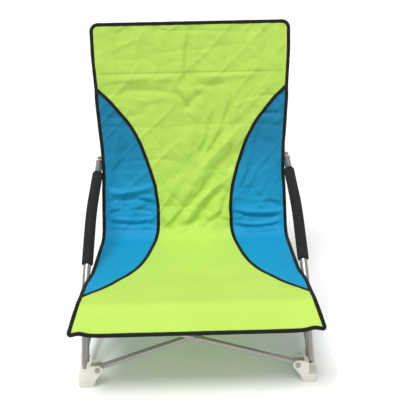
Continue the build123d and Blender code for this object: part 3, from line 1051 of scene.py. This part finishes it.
    def _crumples(self, x: Array, a: Array, share: Array) -> Array:
        """The cloth's small unevenness, stronger on the back than on the seat.

        Args:
            x: Places across the sling.
            a: Places along it.
            share: How far out each place is, as a share of the half width.

        Returns:
            The heights.
        """
        back = 1 - fade(a, self.stops[1] - 0.05, self.stops[1] + 0.03)
        soft = lattice_noise(x, a, 0.062, 3) * (1.5 * back + 0.45) * MM
        soft += lattice_noise(x + a, a - x, 0.027, 5) * (0.85 * back + 0.12) * MM
        soft += lattice_noise(x * 0.6, a * 1.8, 0.018, 9) * 0.0004 * back
        slanted = (1 - np.abs(lattice_noise((x - a) * 0.3, x + a, 0.042, 13))) ** 4
        level = (1 - np.abs(lattice_noise(x * 0.32 + 0.1 * a, a, 0.038, 17))) ** 5
        small = (1 - np.abs(lattice_noise((x + a) * 0.5, a - x, 0.034, 27))) ** 5
        sharp = (0.0034 * slanted - 0.0024 * level - 0.0016 * small) * (0.1 + 0.9 * back)
        bunched = bell(a, 0.45, 0.055) * fade(share, 0.35, 0.5)
        return soft + sharp + lattice_noise(x * 0.5, a * 2.0, 0.014, 11) * 0.0013 * bunched

    def point(self, x: Array, a: Array) -> Array:
        """Places of the cloth's middle surface.

        Args:
            x: Places across the sling.
            a: Places along it.

        Returns:
            The points.
        """
        x, a = np.broadcast_arrays(np.asarray(x, float), np.asarray(a, float))
        a = np.array(a)
        y, z = self.profile(a)
        step = 0.0012
        y1, z1 = self.profile(np.clip(a + step, 0, self.length))
        y0, z0 = self.profile(np.clip(a - step, 0, self.length))
        way_y, way_z = y1 - y0, z1 - z0
        size = np.maximum(np.hypot(way_y, way_z), 1e-9)
        rise = self.relief(np.array(x), a)
        flap = fade(a, self.stops[2], self.length)
        share = np.abs(x) / 0.252
        lift = flap * (0.0025 * fade(share, 0.7, 0.97) + 0.004 * bell(share, 0.9, 0.05))
        return np.stack([x, y + rise * way_z / size, z - rise * way_y / size + lift], axis=-1)

    def normal(self, x: Array, a: Array) -> Array:
        """The cloth's direction towards the sitter.

        Args:
            x: Places across the sling.
            a: Places along it.

        Returns:
            Directions of length 1.
        """
        step = 0.0015
        after, before = np.clip(a + step, 0, self.length), np.clip(a - step, 0, self.length)
        across = self.point(x + step, a) - self.point(x - step, a)
        along = self.point(x, after) - self.point(x, before)
        return unit(np.cross(across, -along))


@dataclass
class Sling:
    """The one-piece cloth: lime centre panel and a blue crescent on each side, with tapes and stitching."""

    palette: Palette
    shape: SlingShape
    binding_inset: float = 0.0032
    stitch_inset: float = 0.0056

    def build(self) -> None:
        """Build the cloth, then what is sewn on it, and put everything on the left frame."""
        cloth = self._cloth()
        trims = [self._binding(), *self._seam_tapes(), *self._stitching()]
        for piece in (cloth, *trims):
            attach(piece, "left_frame")
            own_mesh(piece)
        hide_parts("back_panel", "seat_panel")
        grid = np.linspace(0, self.shape.length, 500)
        area = float(np.mean(2 * self.shape.half(grid)) * self.shape.length)
        log.info("sling: %.0f mm long, %.3f m2", self.shape.length * 1000, area)

    def _cloth(self) -> bpy.types.Object:
        """The cloth as a thin closed sheet, one material slot for each colour.

        Returns:
            The cloth.
        """
        middle, side, rows = 132, 38, 330
        inner = np.linspace(-1, 1, middle + 1)
        outer = np.linspace(0, 1, side + 1)[1:]
        a = np.linspace(0, self.shape.length, rows + 1)
        turn = 1 - np.cos(np.linspace(0, pi / 2, 15))[1:-1]
        near_top, near_hem = self.shape.top_round * turn, self.shape.length - self.shape.hem_round * turn
        a = np.unique(np.concatenate([a, near_top, near_hem]).round(5))
        a[-1] = self.shape.length
        half, centre = self.shape.half(a)[:, None], self.shape.centre(a)[:, None]
        right = centre + (half - centre) * outer[None, :]
        x = np.concatenate([-right[:, ::-1], centre * inner[None, :], right], axis=1)
        along = np.repeat(a[:, None], x.shape[1], axis=1)
        points = self.shape.point(x, along)
        high, wide = x.shape
        column = np.arange(wide - 1)
        edge = (column < side) | (column >= side + middle)
        open_side = (half - centre)[:-1, 0] > 0.0065
        slots = (edge[None, :] & open_side[:, None]).astype(int)
        coords = np.stack([x, along], axis=-1).reshape(-1, 2)
        cloth = make_mesh(
            "sling_cloth", points.reshape(-1, 3), grid_faces(high, wide)[:, ::-1],
            [self.palette.lime, self.palette.blue], slots.ravel(), coords,
        )
        return thickened(cloth)

    def _edge_path(self) -> tuple[Array, Array]:
        """The sling's outline, once round, as places across and along it.

        Returns:
            Places across, and along.
        """
        a = np.linspace(0, self.shape.length, 420)
        turn = 1 - np.cos(np.linspace(0, pi / 2, 15))
        a = np.unique(np.concatenate([
            a[(a > self.shape.top_round) & (a < self.shape.length - self.shape.hem_round)],
            self.shape.top_round * turn, self.shape.length - self.shape.hem_round * turn,
        ]))
        half = self.shape.half(a)
        top = np.linspace(-1, 1, 110)[1:-1] * half[0]
        hem = np.linspace(1, -1, 120)[1:-1] * half[-1]
        x = np.concatenate([top, half, hem, -half[::-1]])
        along = np.concatenate([np.zeros(len(top)), a, np.full(len(hem), self.shape.length), a[::-1]])
        keep = np.ones(len(x), bool)
        points = np.stack([x, along], axis=1)
        keep[1:] = np.linalg.norm(np.diff(points, axis=0), axis=1) > 0.0004
        return x[keep], along[keep]

    def _inward(self, x: Array, a: Array, passes: int = 0) -> Array:
        """The direction into the cloth at each place of its edge, made more even by each pass.

        Args:
            x: Places across the cloth.
            a: Places along it.
            passes: How often to even them out.

        Returns:
            Directions across and along.
        """
        flat = np.stack([x, a], axis=1)
        way = unit(np.roll(flat, -1, axis=0) - np.roll(flat, 1, axis=0))
        inward = np.stack([-way[:, 1], way[:, 0]], axis=1)
        for _ in range(passes):
            inward = unit(inward + np.roll(inward, 1, axis=0) + np.roll(inward, -1, axis=0))
        return inward

    def _binding(self) -> bpy.types.Object:
        """The tape that is folded over the whole edge.

        Returns:
            The tape.
        """
        x, a = self._edge_path()
        inset = self._inward(x, a, 2) * self.binding_inset
        seat_x, seat_a = x + inset[:, 0], np.clip(a + inset[:, 1], 0, self.shape.length)
        points = self.shape.point(seat_x, seat_a)
        outer = self.shape.point(x, a)
        sides = unit(points - outer)
        normals = self.shape.normal(seat_x, seat_a)
        sides = unit(sides - normals * np.sum(sides * normals, axis=1, keepdims=True))
        section = rounded(0.0082, 0.0036, 0.0016, 0.0002)
        pucker = 1 + 0.05 * lattice_noise(x * 3, a * 3, 0.03, 21)
        return sweep("sling_binding", points, sides, normals, section, self.palette.tape, True, pucker)

    def _seam_line(self, side: Side, shift: float = 0.0) -> tuple[Array, Array, Array]:
        """Places, cross directions and normals along one crescent's seam.

        Args:
            side: Which crescent.
            shift: How far outwards from the seam.

        Returns:
            Points, cross directions and normals.
        """
        a = np.linspace(self.shape.on_back(0.4945), self.shape.on_seat(0.0), 300)
        x = side.value * (self.shape.centre(a) + shift)
        points, normals = self.shape.point(x, a), self.shape.normal(x, a)
        way = unit(np.gradient(points, axis=0))
        return points, unit(np.cross(way, normals)), normals

    def _seam_tapes(self) -> list[bpy.types.Object]:
        """The black tape over each crescent's seam.

        Returns:
            The left tape and the right one.
        """
        tapes = []
        for side in Side:
            points, sides, normals = self._seam_line(side)
            section = [(u, v + 0.0009) for u, v in rounded(0.0078, 0.0018, 0.0008)]
            tapes.append(sweep(f"sling_seam_{side.word}", points, sides, normals, section, self.palette.tape))
        return tapes

    def _stitching(self) -> list[bpy.types.Object]:
        """Rows of stitches: beside the edge, on each seam tape and along the pocket's seam.

        Returns:
            The rows.
        """
        x, a = self._edge_path()
        inset = self._inward(x, a) * self.stitch_inset
        margin = self.stitch_inset - 0.0002
        spot_x, spot_a = x + inset[:, 0], np.clip(a + inset[:, 1], margin, self.shape.length - margin)
        normals = self.shape.normal(spot_x, spot_a)
        points = self.shape.point(spot_x, spot_a) + normals * 0.0017
        sides = unit(np.cross(np.gradient(points, axis=0), normals))
        rows = [dashes("binding_stitches", points, sides, normals, self.palette.black_thread)]
        for side in Side:
            for number, shift in enumerate((-0.0027, 0.0027)):
                points, sides, normals = self._seam_line(side, shift)
                rows.append(dashes(
                    f"seam_stitches_{side.word}_{number}", points + normals * 0.0018, sides, normals,
                    self.palette.black_thread,
                ))
        for number, shift in enumerate((-0.0015, 0.0015)):
            x = np.linspace(-0.216, 0.216, 260)
            a = np.full_like(x, self.shape.pocket_seam + shift)
            normals = self.shape.normal(x, a)
            points = self.shape.point(x, a) + normals * 0.0007
            sides = unit(np.cross(np.gradient(points, axis=0), normals))
            rows.append(dashes(f"pocket_stitches_{number}", points, sides, normals, self.palette.lime_thread))
        return rows


@dataclass
class HeadPocket:
    """The cloth behind the post tops, closed at the top and hemmed below."""

    palette: Palette
    shape: SlingShape
    reach: float = 0.139  # how far down the posts it comes
    deep: float = 0.0165  # how far it lies behind the sling between the posts
    bulge: float = 0.0065  # how much further, round a post

    def build(self) -> None:
        """Build the pocket's rear cloth and its hem, and put both on the left frame."""
        x, a, depth = self._places()
        points = self._points(x, a, depth)
        high, wide = x.shape
        coords = np.stack([x, a + depth], axis=-1).reshape(-1, 2)
        cloth = thickened(make_mesh(
            "pocket_cloth", points.reshape(-1, 3), grid_faces(high, wide), [self.palette.lime], coords=coords
        ))
        hem_line = points[-1]
        way = unit(np.gradient(hem_line, axis=0))
        sides = np.tile(-ALONG_POST, (len(hem_line), 1))
        normals = unit(np.cross(way, sides))
        section = rounded(0.009, 0.003, 0.0013, -0.003)
        hem = sweep("pocket_hem", hem_line, sides, normals, section, self.palette.tape)
        for piece in (cloth, hem):
            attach(piece, "left_frame")
            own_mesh(piece)
        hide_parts("head_pocket")
        log.info("head pocket built")

    def _places(self) -> tuple[Array, Array, Array]:
        """Across and along places of the cloth, and how far it lies behind the front one.

        Returns:
            Places across, places along, and depths.
        """
        across = np.linspace(-1, 1, 121)
        over = np.linspace(0, 1, 9)
        down = np.linspace(0, self.reach, 46)[1:]
        a = np.concatenate([np.full(9, 0.001), down])
        share = np.concatenate([over, np.ones(len(down))])
        half = self.shape.half(np.maximum(a, 0.003))
        x = across[None, :] * (half[:, None] - 0.004)
        grid_a = np.repeat(a[:, None], x.shape[1], axis=1)
        near_post = bell(np.abs(x), POST_X, 0.016)
        full = self.deep + self.bulge * near_post - 0.0045 * (1 - (x / 0.232) ** 2) * fade(grid_a, 0.03, 0.12)
        at_edge = 1 - fade(np.abs(across), 0.955, 1.0)[None, :] * 0.93
        depth = full * at_edge * share[:, None]
        depth = depth + lattice_noise(x, grid_a, 0.04, 31) * 0.0012 * fade(grid_a, 0.01, 0.04) * at_edge
        return x, grid_a, np.maximum(depth, 0.0014)

    def _points(self, x: Array, a: Array, depth: Array) -> Array:
        """The cloth's places.

        Args:
            x: Places across.
            a: Places along.
            depth: How far behind the sling each lies.

        Returns:
            The points.
        """
        y, z = self.shape.profile(a)
        flat = np.stack([x, y, z], axis=-1)
        return flat + BEHIND_POST * depth[..., None]


# ---------------------------------------------------------------- grips and webbing


def filleted(corners: Sequence[Array], radius: float, spacing: float = 0.004) -> Array:
    """A three-point path with its turn rounded to a radius, in even steps.

    Args:
        corners: The path's three points.
        radius: The turn's radius.
        spacing: The distance between the new points.

    Returns:
        The new path.
    """
    first, turn, last = (np.asarray(c, float) for c in corners)
    before, after = unit(first - turn), unit(last - turn)
    angle = float(np.arccos(np.clip(np.dot(before, after), -1, 1)))
    cut = radius / tan(angle / 2)
    middle = turn + unit(before + after) * (radius / sin(angle / 2))
    start, end = turn + before * cut - middle, turn + after * cut - middle
    sweep_angle = pi - angle
    arc = [
        middle + (start * sin((1 - t) * sweep_angle) + end * sin(t * sweep_angle)) / sin(sweep_angle)
        for t in np.linspace(0, 1, 40)
    ]
    path = np.array([first, *arc, last])
    run = run_of(path)
    return read_at(np.linspace(0, run[-1], int(run[-1] / spacing) + 1), run, path)


@dataclass
class ArmGrip:
    """A foam sleeve on an arm tube, with rounded shoulders and a moulding line underneath."""

    palette: Palette
    side: Side
    radius: float = 0.012
    bore: float = 0.0081
    shoulder: float = 0.0032
    bend: float = 0.240
    places: tuple = ((0.125, 0.20117), (0.225, 0.280), (0.346, 0.31936))  # from the front feet, and up

    def build(self) -> bpy.types.Object:
        """Build the sleeve and put it on its side frame.

        Returns:
            The sleeve.
        """
        path = filleted([self._on_side(*place) for place in self.places], self.bend)
        way = unit(np.gradient(path, axis=0))
        normals = unit(np.cross(way, np.array([1.0, 0.0, 0.0])))
        sides = unit(np.cross(normals, way))
        run = run_of(path)
        extra = np.array([0.0005, 0.0014, 0.0026])
        spots = np.sort(np.concatenate([run, extra, run[-1] - extra]))
        spots = spots[np.concatenate([[True], np.diff(spots) > 1e-5])]
        ends = np.minimum(spots, spots[-1] - spots)
        swell = 0.012 * lattice_noise(run, run * 0.3, 0.05, 41 + self.side.value)
        scale = 1 - rounding(self.shoulder, ends) / self.radius
        scale = scale + np.interp(spots, run, swell) * (ends > self.shoulder)
        path, sides, normals = (read_at(spots, run, rows) for rows in (path, sides, normals))
        piece = self._sleeve(path, unit(sides), unit(normals), scale)
        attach(piece, f"{self.side.word}_frame")
        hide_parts(f"{self.side.word}_arm_grip")
        log.info("%s arm grip: %.0f mm long", self.side.word, run[-1] * 1000)
        return piece

    def _on_side(self, y: float, z: float) -> Array:
        """A point of the arm tube's plane, with y from the front feet."""
        return np.array([self.side.value * (0.236 - 0.035 * y), y + FRONT_Y, z])

    def _sleeve(self, path: Array, sides: Array, normals: Array, scale: Array) -> bpy.types.Object:
        """An outer skin, an inner bore and the two rims between them.

        Args:
            path: The tube's axis.
            sides: The first cross direction at each point.
            normals: The second cross direction at each point.
            scale: The skin's size at each point.

        Returns:
            The sleeve.
        """
        line = 0.0004  # how far the moulding line stands out
        circle = ring(self.radius, 40)
        outline = np.array([(u, v - line * max(0.0, -v / self.radius) ** 24) for u, v in circle])
        count, around = len(path), len(outline)
        flat = sides[:, None] * outline[None, :, :1] + normals[:, None] * outline[None, :, 1:]
        skin, hole = (path[:, None] + flat * size for size in (scale[:, None, None], self.bore / self.radius))
        points = np.concatenate([skin.reshape(-1, 3), hole.reshape(-1, 3)])
        faces = []
        inner = count * around
        for j in range(around):
            k = (j + 1) % around
            for i in range(count - 1):
                a, b = i * around, (i + 1) * around
                faces.append((a + j, b + j, b + k, a + k))
                faces.append((inner + a + j, inner + a + k, inner + b + k, inner + b + j))
            last = (count - 1) * around
            faces.append((j, k, inner + k, inner + j))
            faces.append((last + j, inner + last + j, inner + last + k, last + k))
        piece = make_mesh(f"{self.side.word}_foam_grip", points, faces, [self.palette.foam])
        fix_normals(piece)
        return piece


@dataclass
class SeatStrap:
    """A webbing loop that ties the seat's rear corner to the post."""

    palette: Palette
    side: Side

    def build(self) -> None:
        """Build the loop and put it on its side frame."""
        middle = post_axis(0.166) + np.array([self.side.value * POST_X, 0, 0])
        radius, reach, tail = 0.0093, 0.0128, 0.0012
        turns = np.linspace(radians(-52), radians(232), 40)
        arc = [(radius * cos(t), radius * sin(t)) for t in turns]
        path = [(tail, -reach), *arc, (-tail, -reach)]
        points = np.array([middle + np.array([1.0, 0, 0]) * u + BEHIND_POST * v for u, v in path])
        run = run_of(points)
        points = read_at(np.linspace(0, run[-1], 80), run, points)
        way = unit(np.gradient(points, axis=0))
        sides = np.tile(ALONG_POST, (len(points), 1))
        normals = unit(np.cross(way, sides))
        piece = sweep(f"{self.side.word}_seat_loop", points, sides, normals,
                      rounded(0.022, 0.0015, 0.0006), self.palette.webbing)
        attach(piece, f"{self.side.word}_frame")
        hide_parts(f"{self.side.word}_seat_strap")
        log.info("%s seat loop built", self.side.word)


# ---------------------------------------------------------------- the frame's own nodes


@dataclass
class FrameFinish:
    """Materials for the CAD nodes that stay."""

    palette: Palette

    def build(self) -> None:
        """Give each node its material by the record's slot."""
        by_slot = {
            "steel_tube": self.palette.tube, "rivet_steel": self.palette.rivet,
            "foot_plastic": self.palette.cream, "washer_plastic": self.palette.black,
            "foam": self.palette.foam, "webbing": self.palette.webbing,
            "back_cloth": self.palette.lime, "pocket_cloth": self.palette.lime,
            "seat_cloth": self.palette.lime,
        }
        slots = {row["node"]: row["material_slot"] for row in frame["record"]["subparts"]}
        for name, node in frame["nodes"].items():
            capped = name.endswith("seat_corner_cap")
            material = self.palette.black if capped else by_slot[slots[name]]
            node.data.materials.clear()
            node.data.materials.append(material)
        log.info("%d frame nodes finished", len(frame["nodes"]))


# ---------------------------------------------------------------- studio


@dataclass
class Studio:
    """A pale floor, soft light and the camera."""

    turn: float = 0.0153  # how far the camera looks to the right of straight ahead
    aside: float = 0.0245
    distance: float = 1.308
    height: float = 1.009
    pitch: float = 24.78
    roll: float = -1.02
    lens: float = 68.82
    shift: float = -0.0168
    sun_way: tuple = (0.16, 0.27, -0.94)
    sun_energy: float = 2.15
    sun_angle: float = 24.0
    surround: float = 0.58

    def build(self) -> None:
        """Build the floor, the lights and the camera."""
        self._floor()
        self._world()
        self._sun()
        self._light("fill", (1.2, -2.2, 1.4), 1.6, 5.0)
        self._camera()
        view = bpy.context.scene.view_settings
        view.view_transform = "Standard"
        view.look = "None"
        log.info("studio built")

    def _floor(self) -> None:
        """A wide, even, nearly white floor."""
        graph = Graph("pale_floor")
        tone = graph.mix(graph.noise(graph.object_coords(), 3.0), (0.92, 0.92, 0.92), (0.90, 0.90, 0.90))
        material = graph.finish({"Base Color": tone}, {"Roughness": 0.9, "Specular IOR Level": 0.1})
        size = 60.0
        corners = np.array([(-size, -size, 0), (size, -size, 0), (size, size, 0), (-size, size, 0)])
        make_mesh("studio_floor", corners, [(0, 1, 2, 3)], [material], smooth=False)

    def _world(self) -> None:
        """An even white surrounding light."""
        world = bpy.data.worlds.new("studio_world")
        world.use_nodes = True
        background = next(n for n in world.node_tree.nodes if n.type == "BACKGROUND")
        background.inputs["Color"].default_value = (1.0, 1.0, 1.0, 1.0)
        background.inputs["Strength"].default_value = self.surround
        bpy.context.scene.world = world

    def _light(self, name: str, place: tuple[float, float, float], size: float, power: float) -> None:
        """A square area light that faces the chair.

        Args:
            name: The light's name.
            place: Where it is.
            size: Its sides' length.
            power: Its power in watts.
        """
        data = bpy.data.lights.new(name, "AREA")
        data.size = size
        data.energy = power
        light = bpy.data.objects.new(name, data)
        light.location = place
        towards = Vector((0.0, 0.0, 0.3)) - Vector(place)
        light.rotation_euler = towards.to_track_quat("-Z", "Y").to_euler()
        bpy.context.scene.collection.objects.link(light)

    def _sun(self) -> None:
        """A broad overhead light that falls evenly on the whole floor."""
        data = bpy.data.lights.new("key", "SUN")
        data.energy = self.sun_energy
        data.angle = radians(self.sun_angle)
        light = bpy.data.objects.new("key", data)
        light.rotation_euler = Vector(self.sun_way).to_track_quat("-Z", "Y").to_euler()
        bpy.context.scene.collection.objects.link(light)

    def _camera(self) -> None:
        """The camera, looking down at the chair from in front."""
        data = bpy.data.cameras.new("camera")
        data.lens = self.lens
        data.sensor_width = 36.0
        data.shift_x = self.shift
        data.clip_end = 60.0
        camera = bpy.data.objects.new("camera", data)
        camera.location = (
            self.aside - self.distance * sin(self.turn),
            FRONT_Y - self.distance * cos(self.turn),
            self.height,
        )
        aim = Euler((radians(90 - self.pitch), 0.0, -self.turn), "XYZ").to_matrix().to_4x4()
        spin = Matrix.Rotation(radians(self.roll), 4, "Z")
        camera.rotation_euler = (aim @ spin).to_euler()
        bpy.context.scene.collection.objects.link(camera)
        bpy.context.scene.camera = camera


def main() -> None:
    """Build everything."""
    palette = Palette()
    FrameFinish(palette).build()
    shape = SlingShape()
    Sling(palette, shape).build()
    HeadPocket(palette, shape).build()
    for side in Side:
        ArmGrip(palette, side).build()
        SeatStrap(palette, side).build()
    Studio().build()


if __name__ == "__main__":
    main()
